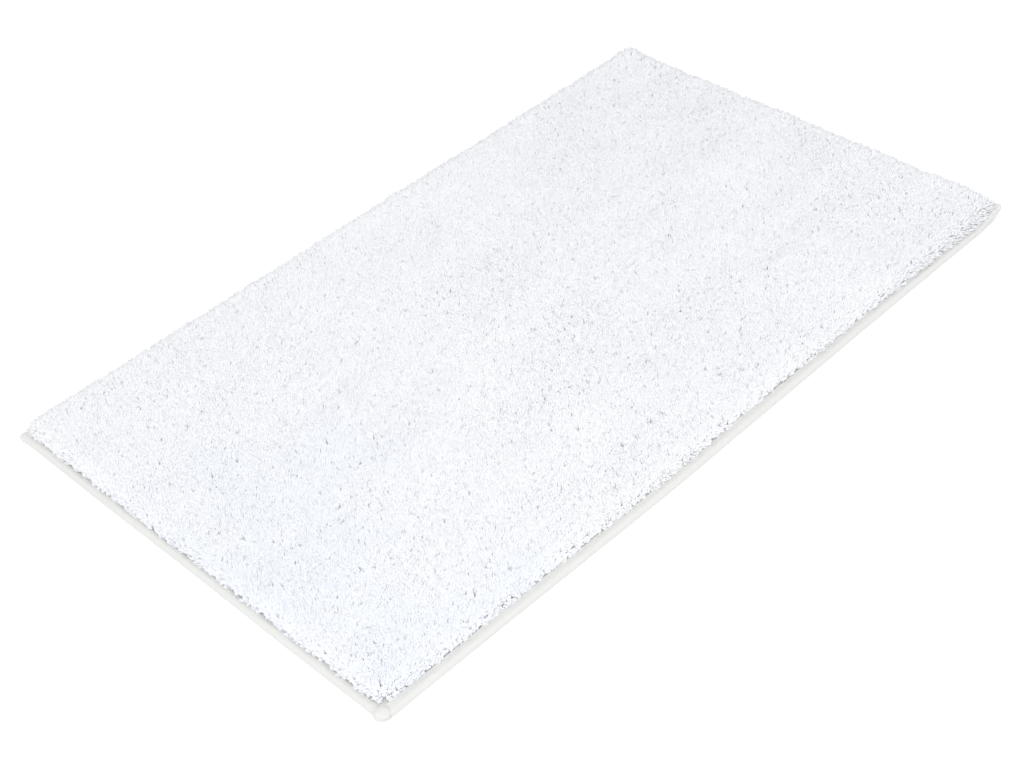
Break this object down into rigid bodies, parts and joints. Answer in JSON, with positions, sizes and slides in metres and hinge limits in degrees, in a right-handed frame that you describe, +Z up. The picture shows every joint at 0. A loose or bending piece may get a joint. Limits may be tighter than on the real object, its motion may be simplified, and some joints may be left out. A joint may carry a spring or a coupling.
{
  "type": "bath mat",
  "caption": "Rectangular tufted bath mat with a white cut pile, a rubber-coated underside and folded tape binding sewn round its edges.",
  "frame": {"origin": "middle of the mat at floor level", "axes": "+X along the long sides, +Y across the mat from the front long side to the back one, +Z up out of the pile"},
  "size_m": [1, 0.606, 0.022],
  "materials": {
    "pile_yarn": "soft cut pile of fine polyester yarn, matt with a faint sheen",
    "backing_cloth": "plain woven cloth",
    "latex": "dull latex film",
    "coat_rubber": "matt soft rubber with small raised dots",
    "binding_tape": "soft woven tape, matt warm white",
    "sewing_thread": "spun polyester thread",
    "label_satin": "smooth satin, blank"
  },
  "bodies": {
    "root": {"pile": "pile_yarn", "primary_backing": "backing_cloth", "latex_precoat": "latex", "anti_slip_backing": "coat_rubber", "binding_tape_front": "binding_tape", "binding_tape_back": "binding_tape", "binding_tape_left": "binding_tape", "binding_tape_right": "binding_tape", "needle_thread_front": "sewing_thread", "needle_thread_back": "sewing_thread", "needle_thread_left": "sewing_thread", "needle_thread_right": "sewing_thread", "bobbin_thread_front": "sewing_thread", "bobbin_thread_back": "sewing_thread", "bobbin_thread_left": "sewing_thread", "bobbin_thread_right": "sewing_thread", "care_label": "label_satin"}
  },
  "joints": []
}
